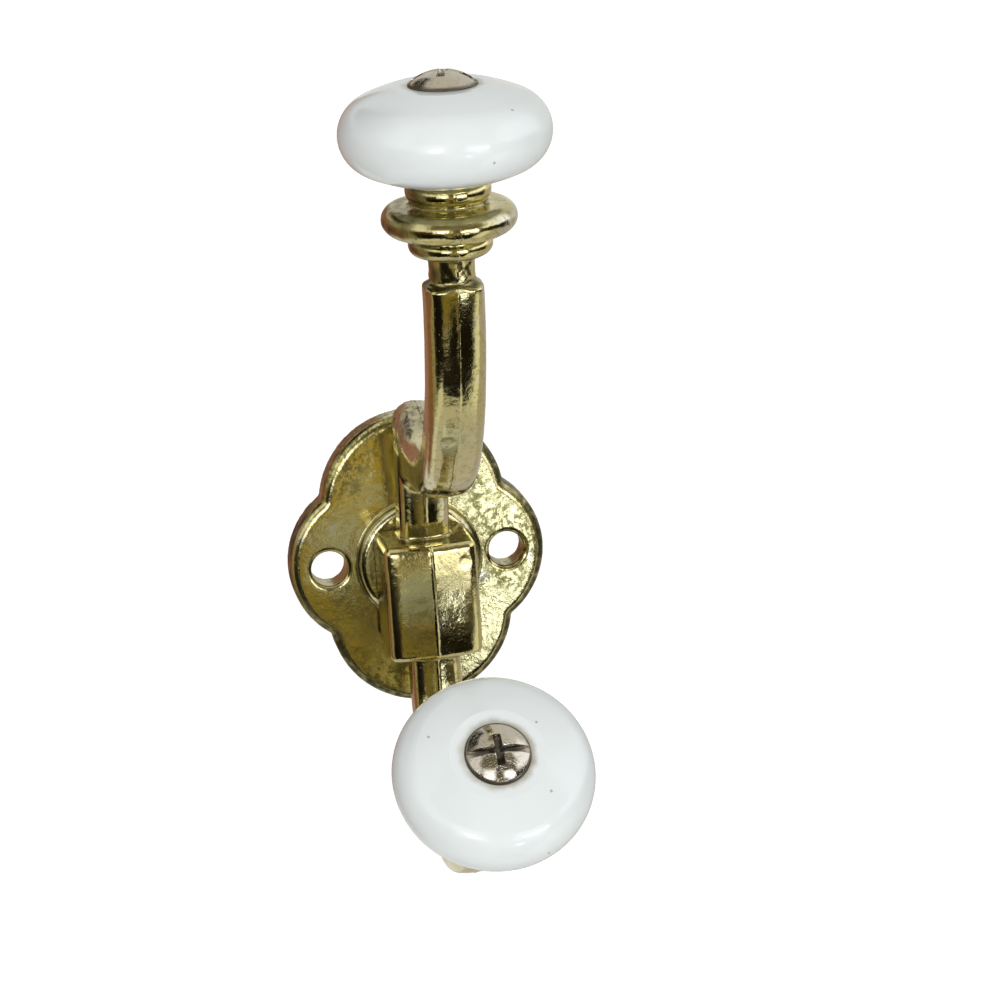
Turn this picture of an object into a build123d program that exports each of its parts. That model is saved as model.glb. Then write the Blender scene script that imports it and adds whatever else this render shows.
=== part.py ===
from build123d import *
import math
import os

# Double coat hook: a cast hook with two porcelain knobs, staked to a quatrefoil back plate.
# The wall is the plane Y = 0, the front faces -Y, X runs to the right and Z up.
# The origin lies on the back of the plate, midway between the two wall-screw holes.
# Lengths are in millimetres and angles in degrees. Side views are drawn in the plane X = 0,
# as (distance out from the wall, height).

# Back plate
HOLE_SPACING = 25.4
HOLE_R = 2.5
HOLE_RIM_R = 0.6
PLATE_T = 4.4
PLATE_HALF_W = 18.2
PLATE_HALF_H = 21.1
SIDE_LOBE_R = 11.9
END_LOBE_R = 13.1
PLATE_EDGE_R = 1.4
NOTCH_R = 0.7
BOSS_R = 8.7
BOSS_H = 1.5
BOSS_EDGE_R = 1.1

# Block of the hook, between the plate and the two arms
BLOCK_W = 12.9
BLOCK_TOP_Z = 5.3
BLOCK_BOTTOM_Z = -11.0
BLOCK_FRONT = 16.8
BLOCK_CROWN = 0.5
PARTING_RISE = 0.3
BLOCK_EDGE_R = 0.9
TENON_W = 6.0
TENON_EDGE_R = 0.8
STAKE_R = 5.4
STAKE_DEPTH = 1.6

# Section of the arms, cast with their parting line in the plane X = 0
STEM_W = 6.9
STEM_D = 6.6
STEM_EDGE_R = 1.5
SHOULDER_W = 6.4
ARM_W = 7.3
ARM_D = 5.9
ARM_EDGE_R = 2.0
ARM_CROWN = 0.6
ARM_END_R = 0.5
ROOT_SINK = 2.0
ROOT_FILLET_R = 0.4

# Upper arm: its end under the collar, its stem, shoulder and saddle
UPPER_REACH = 49.6
UPPER_RISE = 47.8
UPPER_AXIS = 84.0
UPPER_ROOT_OUT = 9.2
SHOULDER_OUT = 10.2
SHOULDER_RISE = 6.1
SHOULDER_EDGE_R = 2.8
SADDLE_OUT = 25.0
SADDLE_Z = 18.65
SADDLE_D = 6.3
ARM_STATIONS = 7

# Lower arm: its end under the collar, its straight start and its lowest point
LOWER_REACH = 42.4
LOWER_DROP = 26.1
LOWER_AXIS = 45.0
LOWER_ROOT_OUT = 12.0
LOWER_STRAIGHT = 4.0
BEND_DROP = 33.3

# Shape of the bends, as shares of each bend's reach and height, and of the shoulder,
# as shares of the run to the saddle and of the shoulder's extra height
UPPER_BEND = ((0.415, 0.076), (0.610, 0.207), (0.764, 0.372), (0.882, 0.559), (0.963, 0.766))
LOWER_BEND = ((0.092, 0.503), (0.303, 0.863), (0.566, 1.0), (0.803, 0.874))
SHOULDER_SHAPE = ((0, 0.905), (0.28, 0.937), (0.55, 0.413), (0.8, 0.063), (1.05, 0))

# Collar stack under each knob
BEAD_R = 5.2
BEAD_H = 2.6
BEAD_TOP_R = 4.6
RING_R = 8.2
RING_TUBE_R = 1.7
COVE_R = 4.5
COVE_H = 0.4
LOWER_BEAD_R = 5.1
LOWER_BEAD_H = 2.3
LOWER_BEAD_FOOT_R = 3.6
NECK_R = 2.8
NECK_L = 3.6

# Porcelain knobs
KNOB_R = 12.7
KNOB_H = 12.7
KNOB_EDGE_R = 4.6
KNOB_FLAT_R = 6.0

# Oval-head machine screws
SCREW_R = 2.08
SCREW_L = 19.05
HEAD_R = 4.12
HEAD_DOME = 1.6
HEAD_LAND = 0.15
HEAD_ANGLE = 82.0
SLOT_W = 1.0
SLOT_D = 1.5
CROSS_SPAN = 4.9
CROSS_D = 2.3
TIP_CHAMFER = 0.4
UPPER_SLOT_TURN = 25.0
LOWER_SLOT_TURN = 5.0

# Clearances between separate pieces
FIT = 0.03
BORE_CLEARANCE = 0.4
TIP_CLEARANCE = 0.6

# Derived sizes
UPPER_END = (UPPER_REACH, UPPER_RISE)
LOWER_END = (LOWER_REACH, -LOWER_DROP)
SIDE_LOBE_X = PLATE_HALF_W - SIDE_LOBE_R
END_LOBE_Z = PLATE_HALF_H - END_LOBE_R
BOSS_FRONT = PLATE_T + BOSS_H
BLOCK_BACK = BOSS_FRONT + FIT
BLOCK_MID_Z = (BLOCK_TOP_Z + BLOCK_BOTTOM_Z) / 2
KNOB_EDGE_X = KNOB_R - KNOB_EDGE_R
KNOB_BORE_R = SCREW_R + BORE_CLEARANCE
STACK_L = BEAD_H + COVE_H + 2 * RING_TUBE_R + COVE_H + LOWER_BEAD_H + NECK_L
COLLAR_ROOT = ARM_END_R + 0.3
HEAD_SLOPE = math.tan(math.radians(HEAD_ANGLE / 2))
HEAD_FIT = FIT / math.cos(math.radians(HEAD_ANGLE / 2))
FRONT = Plane(origin=(0, 0, 0), x_dir=(1, 0, 0), z_dir=(0, -1, 0))


def at(out, up):
    """Point in the plane X = 0, by its distance out from the wall and its height."""
    return Vector(0, -out, up)


def along(angle):
    """Direction in the plane X = 0, by its angle above the horizontal, away from the wall."""
    rise = math.radians(angle)
    return Vector(0, -math.cos(rise), math.sin(rise))


def axis_plane(end, angle, offset):
    """Plane across a knob's axis, at a distance beyond the end of the arm."""
    way = along(angle)
    return Plane(origin=at(*end) + way * offset, x_dir=(1, 0, 0), z_dir=way)


def knob_face_radius():
    """Radius of a knob's shallow faces, tangent to its round edge."""
    half = KNOB_H / 2
    rest = KNOB_EDGE_X**2 + half**2 - KNOB_EDGE_R**2
    return rest / (2 * (half - KNOB_EDGE_R))


KNOB_FACE_R = knob_face_radius()
KNOB_FACE_DROP = KNOB_FACE_R - KNOB_H / 2
KNOB_SEAT = math.sqrt(KNOB_FACE_R**2 - KNOB_FLAT_R**2) - KNOB_FACE_DROP
KNOB_OFFSET = STACK_L + FIT + KNOB_SEAT


def stake_head(extra):
    """Countersunk head that the tenon's end is peened into, flush with the plate's back."""
    half = TENON_W / math.sqrt(2)
    base = (Align.CENTER, Align.CENTER, Align.MIN)
    return Cone(STAKE_R + extra, half + extra, STAKE_DEPTH + 2 * extra, align=base)


def make_back_plate():
    """Quatrefoil plate with a round boss, two screw holes and a square hole for the tenon."""
    lobes = Pos(SIDE_LOBE_X, 0) * Circle(SIDE_LOBE_R)
    lobes += Pos(-SIDE_LOBE_X, 0) * Circle(SIDE_LOBE_R)
    lobes += Pos(0, END_LOBE_Z) * Circle(END_LOBE_R)
    lobes += Pos(0, -END_LOBE_Z) * Circle(END_LOBE_R)
    plate = extrude(FRONT * lobes, PLATE_T)
    plate = fillet(plate.edges().filter_by(Axis.Y), NOTCH_R)
    plate = fillet(plate.faces().sort_by(Axis.Y)[0].edges(), PLATE_EDGE_R)
    boss = extrude(FRONT * Circle(BOSS_R), BOSS_FRONT)
    boss = fillet(boss.faces().sort_by(Axis.Y)[0].edges(), BOSS_EDGE_R)
    plate += boss
    for x in (-HOLE_SPACING / 2, HOLE_SPACING / 2):
        plate -= extrude(FRONT * Pos(x, 0) * Circle(HOLE_R), PLATE_T)
        rims = plate.edges().filter_by(GeomType.CIRCLE)
        rims = [e for e in rims if abs(e.radius - HOLE_R) < 0.001]
        rims = [e for e in rims if abs(e.center().Y + PLATE_T) < 0.001]
        plate = fillet([e for e in rims if abs(e.arc_center.X - x) < 0.001], HOLE_RIM_R)
    hole = RectangleRounded(TENON_W + 2 * FIT, TENON_W + 2 * FIT, TENON_EDGE_R + FIT)
    plate -= extrude(FRONT * hole, BOSS_FRONT)
    plate -= FRONT * stake_head(FIT)
    return plate


def block_section(height, front):
    """Plan of the block at a height: its front is peaked at the parting line."""
    half = BLOCK_W / 2
    outline = Polyline(
        (-half, -BLOCK_BACK, height),
        (half, -BLOCK_BACK, height),
        (half, PARTING_RISE - front, height),
        (0, -front, height),
        (-half, PARTING_RISE - front, height),
        close=True,
    )
    return make_face(outline)


def make_block():
    """Block with a crowned front and rounded edges, and the tenon that is staked in the plate."""
    sections = [
        block_section(BLOCK_BOTTOM_Z, BLOCK_FRONT),
        block_section(BLOCK_MID_Z, BLOCK_FRONT + BLOCK_CROWN),
        block_section(BLOCK_TOP_Z, BLOCK_FRONT),
    ]
    block = loft(sections)
    sharp = block.edges().filter_by_position(Axis.Y, -BLOCK_FRONT - 1, -BLOCK_BACK - 0.1)
    outer = [e for e in sharp if abs(e.center().X) > 0.1]
    block = fillet(outer, BLOCK_EDGE_R)
    tenon = RectangleRounded(TENON_W, TENON_W, TENON_EDGE_R)
    block += Pos(0, -FIT, 0) * extrude(FRONT * tenon, BLOCK_BACK)
    block += Pos(0, -FIT, 0) * FRONT * stake_head(0)
    return block


def bar_section(width, depth, edge_r):
    """Section of a cast arm: crowned front and back, straight sides and round corners."""
    x = width / 2
    y = depth / 2
    edge = y - ARM_CROWN
    outline = [
        ThreePointArc((-x, -edge), (0, -y), (x, -edge)),
        Line((x, -edge), (x, edge)),
        ThreePointArc((x, edge), (0, y), (-x, edge)),
        Line((-x, edge), (-x, -edge)),
    ]
    face = make_face(Curve(outline))
    return fillet(face.vertices(), edge_r)


def section_on(path, share, width, depth, edge_r=ARM_EDGE_R):
    """Section of an arm, set across its path at a share of the path's length."""
    place = Plane(origin=path @ share, x_dir=(1, 0, 0), z_dir=path % share)
    return place * bar_section(width, depth, edge_r)


def bend_knots(start, reach, height, shares):
    """Points that a bend runs through, from shares of its reach and height."""
    return [start + at(reach * out, height * up) for out, up in shares]


def shoulder_sections(path, run):
    """Sections from the tall round shoulder down to the saddle, along the start of the path."""
    extra = 2 * SHOULDER_RISE - SADDLE_D
    sections = []
    for place, tall in SHOULDER_SHAPE:
        edge_r = ARM_EDGE_R + (SHOULDER_EDGE_R - ARM_EDGE_R) * tall
        width = ARM_W + (SHOULDER_W - ARM_W) * tall
        sections.append(section_on(path, place * run, width, SADDLE_D + extra * tall, edge_r))
    return sections


def make_upper_arm():
    """Stem and upper arm: a round-topped shoulder, a saddle, and the bend up to the collar."""
    foot = at(UPPER_ROOT_OUT, BLOCK_TOP_Z - ROOT_SINK)
    head = at(SHOULDER_OUT + STEM_D / 2, SADDLE_Z)
    stem_path = Line(foot, head)
    stem = sweep(section_on(stem_path, 0, STEM_W, STEM_D, STEM_EDGE_R), path=stem_path)
    back = at(SHOULDER_OUT, SADDLE_Z)
    start = at(SADDLE_OUT, SADDLE_Z)
    knots = bend_knots(start, UPPER_REACH - SADDLE_OUT, UPPER_RISE - SADDLE_Z, UPPER_BEND)
    bend = Spline(start, *knots, at(*UPPER_END), tangents=[along(0), along(UPPER_AXIS)])
    path = Wire([Line(back, start).edge(), bend.edge()])
    run = (SADDLE_OUT - SHOULDER_OUT) / path.length
    sections = shoulder_sections(path, run)
    begin = SHOULDER_SHAPE[-1][0] * run
    for step in range(1, ARM_STATIONS + 1):
        share = step / ARM_STATIONS
        depth = SADDLE_D + (ARM_D - SADDLE_D) * share
        sections.append(section_on(path, begin + (1 - begin) * share, ARM_W, depth, ARM_EDGE_R))
    arm = loft(sections)
    end = arm.faces().filter_by(GeomType.PLANE).sort_by(Axis.Z)[-1]
    arm = fillet(end.edges(), ARM_END_R)
    return stem + arm


def make_lower_arm():
    """Lower arm: it drops from the block and bends forward and up to its collar."""
    top = at(LOWER_ROOT_OUT, BLOCK_BOTTOM_Z + ROOT_SINK)
    start = at(LOWER_ROOT_OUT, BLOCK_BOTTOM_Z - LOWER_STRAIGHT)
    depth = BLOCK_BOTTOM_Z - LOWER_STRAIGHT + BEND_DROP
    knots = bend_knots(start, LOWER_REACH - LOWER_ROOT_OUT, -depth, LOWER_BEND)
    bend = Spline(start, *knots, at(*LOWER_END), tangents=[along(-90), along(LOWER_AXIS)])
    path = Wire([Line(top, start).edge(), bend.edge()])
    first = section_on(path, 0, STEM_W, STEM_D, STEM_EDGE_R)
    last = section_on(path, 1, ARM_W, ARM_D)
    arm = sweep([first, last], path=path, multisection=True)
    return fillet(arm.faces().sort_by(Axis.Y)[0].edges(), ARM_END_R)


def make_collar():
    """Collar stack on its own axis, from the arm's end up to the knob's seat."""
    foot = NECK_L
    ring_low = foot + LOWER_BEAD_H + COVE_H
    ring_mid = ring_low + RING_TUBE_R
    ring_top = ring_mid + RING_TUBE_R
    bead_low = ring_top + COVE_H
    tube_x = RING_R - RING_TUBE_R
    belly = foot + 0.7 * LOWER_BEAD_H
    waist = bead_low + BEAD_H / 2
    outline = [
        Line((0, -COLLAR_ROOT), (NECK_R, -COLLAR_ROOT)),
        Line((NECK_R, -COLLAR_ROOT), (NECK_R, foot)),
        Line((NECK_R, foot), (LOWER_BEAD_FOOT_R, foot)),
        ThreePointArc((LOWER_BEAD_FOOT_R, foot), (LOWER_BEAD_R, belly), (COVE_R, foot + LOWER_BEAD_H)),
        Line((COVE_R, foot + LOWER_BEAD_H), (COVE_R, ring_low)),
        Line((COVE_R, ring_low), (tube_x, ring_low)),
        ThreePointArc((tube_x, ring_low), (RING_R, ring_mid), (tube_x, ring_top)),
        Line((tube_x, ring_top), (COVE_R, ring_top)),
        Line((COVE_R, ring_top), (COVE_R, bead_low)),
        ThreePointArc((COVE_R, bead_low), (BEAD_R, waist), (BEAD_TOP_R, STACK_L)),
        Line((BEAD_TOP_R, STACK_L), (0, STACK_L)),
        Line((0, STACK_L), (0, -COLLAR_ROOT)),
    ]
    profile = make_face(Plane.XZ * Curve(outline))
    return revolve(profile, Axis.Z)


def join_arm(body, arm, height):
    """Add an arm to the block and round the corner where it leaves the block's face."""
    joined = body + arm
    fresh = new_edges(body, arm, combined=joined)
    root = fresh.filter_by_position(Axis.Z, height - FIT, height + FIT)
    return fillet(root, ROOT_FILLET_R)


def make_hook():
    """The whole casting, tapped at the end of each arm for a knob screw."""
    hook = join_arm(make_block(), make_upper_arm(), BLOCK_TOP_Z)
    hook = join_arm(hook, make_lower_arm(), BLOCK_BOTTOM_Z)
    tip = STACK_L + FIT + 2 * KNOB_SEAT - SCREW_L
    depth = STACK_L - tip + TIP_CLEARANCE
    for end, angle in ((UPPER_END, UPPER_AXIS), (LOWER_END, LOWER_AXIS)):
        hook += axis_plane(end, angle, 0) * make_collar()
        hook -= extrude(axis_plane(end, angle, STACK_L) * Circle(SCREW_R + FIT), -depth)
    return hook


def make_knob():
    """Knob on its own axis: round edge, shallow faces, flat seats and a countersunk bore."""
    face_share = KNOB_EDGE_X / (KNOB_FACE_R - KNOB_EDGE_R)
    join_x = KNOB_FACE_R * face_share
    join_z = math.sqrt(KNOB_FACE_R**2 - join_x**2) - KNOB_FACE_DROP
    mid_x = (KNOB_FLAT_R + join_x) / 2
    mid_z = math.sqrt(KNOB_FACE_R**2 - mid_x**2) - KNOB_FACE_DROP
    sink_r = HEAD_R + HEAD_FIT
    sink_z = KNOB_SEAT - (sink_r - KNOB_BORE_R) / HEAD_SLOPE
    outline = [
        Line((KNOB_BORE_R, -KNOB_SEAT), (KNOB_FLAT_R, -KNOB_SEAT)),
        ThreePointArc((KNOB_FLAT_R, -KNOB_SEAT), (mid_x, -mid_z), (join_x, -join_z)),
        ThreePointArc((join_x, -join_z), (KNOB_R, 0), (join_x, join_z)),
        ThreePointArc((join_x, join_z), (mid_x, mid_z), (KNOB_FLAT_R, KNOB_SEAT)),
        Line((KNOB_FLAT_R, KNOB_SEAT), (sink_r, KNOB_SEAT)),
        Line((sink_r, KNOB_SEAT), (KNOB_BORE_R, sink_z)),
        Line((KNOB_BORE_R, sink_z), (KNOB_BORE_R, -KNOB_SEAT)),
    ]
    return revolve(make_face(Plane.XZ * Curve(outline)), Axis.Z)


def make_screw():
    """Screw on the knob's axis: oval head, a slot right across it, and a tapered cross recess."""
    rim = KNOB_SEAT
    tip = KNOB_SEAT - SCREW_L
    crown = rim + HEAD_LAND + HEAD_DOME
    dome_r = (HEAD_R**2 + HEAD_DOME**2) / (2 * HEAD_DOME)
    half_r = HEAD_R / 2
    half_z = crown - dome_r + math.sqrt(dome_r**2 - half_r**2)
    throat = rim - (HEAD_R - SCREW_R) / HEAD_SLOPE
    outline = [
        Line((0, tip), (SCREW_R - TIP_CHAMFER, tip)),
        Line((SCREW_R - TIP_CHAMFER, tip), (SCREW_R, tip + TIP_CHAMFER)),
        Line((SCREW_R, tip + TIP_CHAMFER), (SCREW_R, throat)),
        Line((SCREW_R, throat), (HEAD_R, rim)),
        Line((HEAD_R, rim), (HEAD_R, rim + HEAD_LAND)),
        ThreePointArc((HEAD_R, rim + HEAD_LAND), (half_r, half_z), (0, crown)),
        Line((0, crown), (0, tip)),
    ]
    screw = revolve(make_face(Plane.XZ * Curve(outline)), Axis.Z)
    hang = (Align.CENTER, Align.CENTER, Align.MAX)
    slot = Pos(0, 0, crown) * Box(2 * HEAD_R, SLOT_W, SLOT_D, align=hang)
    cross = Box(CROSS_SPAN, SLOT_W, CROSS_D, align=hang) + Box(SLOT_W, CROSS_SPAN, CROSS_D, align=hang)
    cross &= Cone(SLOT_W / 2, CROSS_SPAN / 2, CROSS_D, align=hang)
    return screw - slot - Pos(0, 0, crown) * cross


def main():
    """Build every piece in its place and write one file for each."""
    os.makedirs("parts", exist_ok=True)
    export_step(make_back_plate(), "parts/back_plate.step")
    export_step(make_hook(), "parts/hook.step")
    knob = make_knob()
    screw = make_screw()
    upper = axis_plane(UPPER_END, UPPER_AXIS, KNOB_OFFSET)
    lower = axis_plane(LOWER_END, LOWER_AXIS, KNOB_OFFSET)
    export_step(upper * knob, "parts/upper_knob.step")
    export_step(lower * knob, "parts/lower_knob.step")
    export_step(upper * Rot(0, 0, UPPER_SLOT_TURN) * screw, "parts/upper_knob_screw.step")
    export_step(lower * Rot(0, 0, LOWER_SLOT_TURN) * screw, "parts/lower_knob_screw.step")


if __name__ == "__main__":
    main()
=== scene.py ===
"""Looks of a double coat hook: worn brass castings, white porcelain knobs and dulled screws.

Lengths are in metres. The wall is the plane Y = 0, the front faces -Y and Z is up.
"""

import logging
import math
from dataclasses import dataclass
from enum import Enum
from typing import Any, Callable

import bmesh
import bpy
from mathutils import Euler, Matrix, Vector, noise


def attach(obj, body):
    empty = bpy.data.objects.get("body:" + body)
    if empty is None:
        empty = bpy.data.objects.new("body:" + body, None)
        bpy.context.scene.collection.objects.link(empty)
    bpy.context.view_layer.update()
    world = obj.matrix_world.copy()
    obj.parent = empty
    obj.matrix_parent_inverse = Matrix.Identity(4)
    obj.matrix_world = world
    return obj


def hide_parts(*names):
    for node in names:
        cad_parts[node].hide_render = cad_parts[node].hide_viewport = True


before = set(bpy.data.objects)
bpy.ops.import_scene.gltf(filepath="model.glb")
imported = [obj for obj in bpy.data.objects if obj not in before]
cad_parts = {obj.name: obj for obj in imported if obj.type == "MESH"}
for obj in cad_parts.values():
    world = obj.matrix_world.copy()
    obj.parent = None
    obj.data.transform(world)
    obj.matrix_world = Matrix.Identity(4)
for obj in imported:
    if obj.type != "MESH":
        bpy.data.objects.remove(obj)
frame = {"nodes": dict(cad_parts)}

LOG = logging.getLogger("double_hook")
MM = 0.001
WELD = 0.002 * MM
Colour = tuple[float, float, float]
Point = tuple[float, float, float]
Ends = tuple[float, float]
Socket = bpy.types.NodeSocket
Piece = bpy.types.Object
# Masks stored on the castings: wear with painted sheen, bare patches, and grime with painted shade.
MASKS = ("worn", "bare", "grime_and_shade")


class Place(Enum):
    """The two arms of the hook, by the names of their pieces."""

    UPPER = "upper"
    LOWER = "lower"


class Cast(Enum):
    """The two castings, by the names of their CAD nodes."""

    HOOK = "hook"
    PLATE = "back_plate"


@dataclass(frozen=True)
class Grain:
    """A noise pattern: waves for each metre, finer layers, and the share that each layer keeps."""

    scale: float
    detail: float
    rough: float


def unit(value: float) -> float:
    """Keeps a value from 0 to 1."""
    return min(1.0, max(0.0, value))


def within(value: float, ends: Ends) -> bool:
    """Tells whether a value lies between two ends."""
    return ends[0] < value < ends[1]


def mottle(point: Vector, size: float) -> float:
    """Gives smooth noise, from about -1 to 1, with waves of the given size."""
    return noise.noise(point / size)


def ramp(low: float, high: float, value: float) -> float:
    """Rises smoothly from 0 at low to 1 at high.

    Args:
        low: Value where the step begins.
        high: Value where the step ends; it may be under low for a falling step.
        value: Value to place on the step.

    Returns:
        A number from 0 to 1.
    """
    share = unit((value - low) / (high - low))
    return share * share * (3.0 - 2.0 * share)


class Tree:
    """Adds and links the nodes of one node tree."""

    def __init__(self, tree: bpy.types.NodeTree) -> None:
        """Keeps the tree that nodes go into."""
        self.tree = tree

    def feed(self, node: bpy.types.Node, inputs: dict[Any, Any]) -> None:
        """Sets or links inputs of a node, by input name or number."""
        for key, value in inputs.items():
            if isinstance(value, Socket):
                self.tree.links.new(value, node.inputs[key])
            else:
                node.inputs[key].default_value = value

    def add(self, kind: str, inputs: dict[Any, Any] | None = None, **settings: Any) -> bpy.types.Node:
        """Adds a node.

        Args:
            kind: Blender's type name of the node.
            inputs: Values or output sockets, by input name or number.
            settings: Properties to set on the node first.

        Returns:
            The new node.
        """
        node = self.tree.nodes.new(kind)
        for name, value in settings.items():
            setattr(node, name, value)
        self.feed(node, inputs or {})
        return node

    def math(self, operation: str, *values: Any, clamp: bool = False) -> Socket:
        """Adds a Math node for numbers or sockets, and gives its value socket."""
        inputs = dict(enumerate(values))
        return self.add("ShaderNodeMath", inputs, operation=operation, use_clamp=clamp).outputs[0]

    def times(self, first: Any, second: Any) -> Socket:
        """Multiplies two numbers or sockets."""
        return self.math("MULTIPLY", first, second)

    def larger(self, first: Any, second: Any) -> Socket:
        """Takes the larger of two numbers or sockets."""
        return self.math("MAXIMUM", first, second)

    def total(self, base: Any, *parts: tuple[Any, float]) -> Any:
        """Adds masks, each with its weight, to a base value and keeps the sum from 0 to 1."""
        for mask, weight in parts:
            base = self.math("MULTIPLY_ADD", mask, weight, base, clamp=True)
        return base

    def step(self, value: Any, low: float, high: float) -> Socket:
        """Adds a smooth step from 0 at low to 1 at high, which falls if high is under low."""
        ends = {0: value, 1: min(low, high), 2: max(low, high), 3: 0.0, 4: 1.0}
        if high < low:
            ends[3], ends[4] = 1.0, 0.0
        node = self.add("ShaderNodeMapRange", ends, interpolation_type="SMOOTHSTEP", clamp=True)
        return node.outputs[0]

    def mix(self, factor: Any, first: Any, second: Any) -> Socket:
        """Adds a mix of two colours or sockets; factor is the share of the second."""
        node = self.add("ShaderNodeMix", data_type="RGBA", blend_type="MIX", clamp_factor=True)
        ends = [c if isinstance(c, Socket) else (*c, 1.0) for c in (first, second)]
        # The node's colour inputs are numbers 6 and 7, and its colour output is number 2.
        self.feed(node, {0: factor, 6: ends[0], 7: ends[1]})
        return node.outputs[2]

    def where(self) -> Socket:
        """Adds the object's own coordinates."""
        return self.add("ShaderNodeTexCoord").outputs["Object"]

    def mask(self, name: str) -> Socket:
        """Adds a mask that is stored on the points of a piece."""
        return self.add("ShaderNodeAttribute", attribute_name=name).outputs["Fac"]

    def seen(self) -> Socket:
        """Adds a mask that is 1 for camera, glossy and transmission rays."""
        path = self.add("ShaderNodeLightPath").outputs
        indirect = self.larger(path["Is Glossy Ray"], path["Is Transmission Ray"])
        return self.larger(path["Is Camera Ray"], indirect)

    def noise(self, vector: Socket, grain: Grain) -> Socket:
        """Adds a Noise texture and gives its value socket."""
        values = {"Vector": vector, "Scale": grain.scale, "Detail": grain.detail, "Roughness": grain.rough}
        return self.add("ShaderNodeTexNoise", values, noise_dimensions="3D").outputs[0]

    def cells(self, vector: Socket, scale: float) -> tuple[Socket, Any]:
        """Adds a Voronoi texture, and gives its distance and its cells' random numbers."""
        values = {"Vector": vector, "Scale": scale, "Randomness": 1.0}
        cells = self.add("ShaderNodeTexVoronoi", values).outputs
        return cells["Distance"], self.add("ShaderNodeSeparateColor", {0: cells["Color"]}).outputs

    def group(self, group: bpy.types.NodeTree, vector: Socket, values: dict[str, float]) -> Any:
        """Places a shared node group, and gives its outputs by name."""
        return self.add("ShaderNodeGroup", {"Vector": vector, **values}, node_tree=group).outputs

    def bump(self, height: Socket, strength: float, distance: float) -> Socket:
        """Adds relief, where distance is the length that a height of 1 stands for."""
        values = {"Height": height, "Strength": strength, "Distance": distance}
        return self.add("ShaderNodeBump", values).outputs[0]


@dataclass(frozen=True)
class KnobAxis:
    """Axis of one knob, from the end of its arm out through the knob."""

    place: Place
    out: float
    up: float
    angle: float
    seat: float = 12.7 * MM
    middle: float = 18.325 * MM

    @property
    def start(self) -> Vector:
        """Point where the arm ends."""
        return Vector((0.0, -self.out, self.up))

    @property
    def way(self) -> Vector:
        """Unit vector from the arm's end to the knob."""
        rise = math.radians(self.angle)
        return Vector((0.0, -math.cos(rise), math.sin(rise)))

    def reach(self, point: Vector) -> tuple[float, float]:
        """Gives a point's distance along the axis from the arm's end, and from the axis."""
        offset = point - self.start
        length = offset.dot(self.way)
        return length, (offset - self.way * length).length

    def local(self, tree: Tree, where: Socket, length: float) -> tuple[Socket, Any, Socket]:
        """Adds coordinates whose Z runs along the axis from a length on it, their parts and radius."""
        turn = Euler((math.radians(90.0 - self.angle), 0.0, 0.0))
        values = {"Vector": where, "Location": self.start + self.way * length, "Rotation": turn}
        local = tree.add("ShaderNodeMapping", values, vector_type="TEXTURE").outputs[0]
        parts = tree.add("ShaderNodeSeparateXYZ", {0: local}).outputs
        squares = [tree.math("POWER", part, 2.0) for part in (parts[0], parts[1])]
        return local, parts, tree.math("SQRT", tree.math("ADD", *squares))


def new_group(name: str, inputs: dict[str, float], outputs: list[str]) -> tuple[Tree, Any, bpy.types.Node]:
    """Starts a shader node group that takes coordinates and values and puts out values.

    Args:
        name: Name of the group.
        inputs: Default values of its number inputs after Vector, by name.
        outputs: Names of its number outputs.

    Returns:
        The tree helper, the group's inputs by name and its output node.
    """
    group = bpy.data.node_groups.new(name, "ShaderNodeTree")
    group.interface.new_socket("Vector", in_out="INPUT", socket_type="NodeSocketVector")
    for label, value in inputs.items():
        socket = group.interface.new_socket(label, in_out="INPUT", socket_type="NodeSocketFloat")
        socket.default_value = value
    for label in outputs:
        group.interface.new_socket(label, in_out="OUTPUT", socket_type="NodeSocketFloat")
    tree = Tree(group)
    return tree, tree.add("NodeGroupInput").outputs, tree.add("NodeGroupOutput")


@dataclass(frozen=True)
class CastSkin:
    """The skin of a die casting: orange peel, fine grain and scattered pits."""

    peel: Grain = Grain(620, 2, 0.45)
    grain: Grain = Grain(1900, 3, 0.6)
    pit_scale: float = 2600.0
    pit_edge: Ends = (0.30, 0.06)
    pit_areas: Grain = Grain(300, 3, 0.6)
    pit_area_ends: Ends = (0.42, 0.60)
    pit_depth: float = 0.25

    def make(self) -> bpy.types.NodeTree:
        """Builds the group, with the outputs Height and Pits."""
        inputs = {"Peel": 0.5, "Grain": 0.5, "Pit Cover": 0.4}
        tree, given, end = new_group("cast_skin", inputs, ["Height", "Pits"])
        vector = given["Vector"]
        distance, odds = tree.cells(vector, self.pit_scale)
        hollow = tree.step(distance, *self.pit_edge)
        lucky = tree.math("GREATER_THAN", odds[0], tree.math("SUBTRACT", 1.0, given["Pit Cover"]))
        here = tree.step(tree.noise(vector, self.pit_areas), *self.pit_area_ends)
        pits = tree.times(tree.times(hollow, lucky), here)
        peel = tree.times(tree.noise(vector, self.peel), given["Peel"])
        grain = tree.times(tree.noise(vector, self.grain), given["Grain"])
        sunk = tree.times(pits, self.pit_depth)
        height = tree.math("SUBTRACT", tree.math("ADD", peel, grain), sunk)
        tree.feed(end, {"Height": height, "Pits": pits})
        return tree.tree


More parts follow.
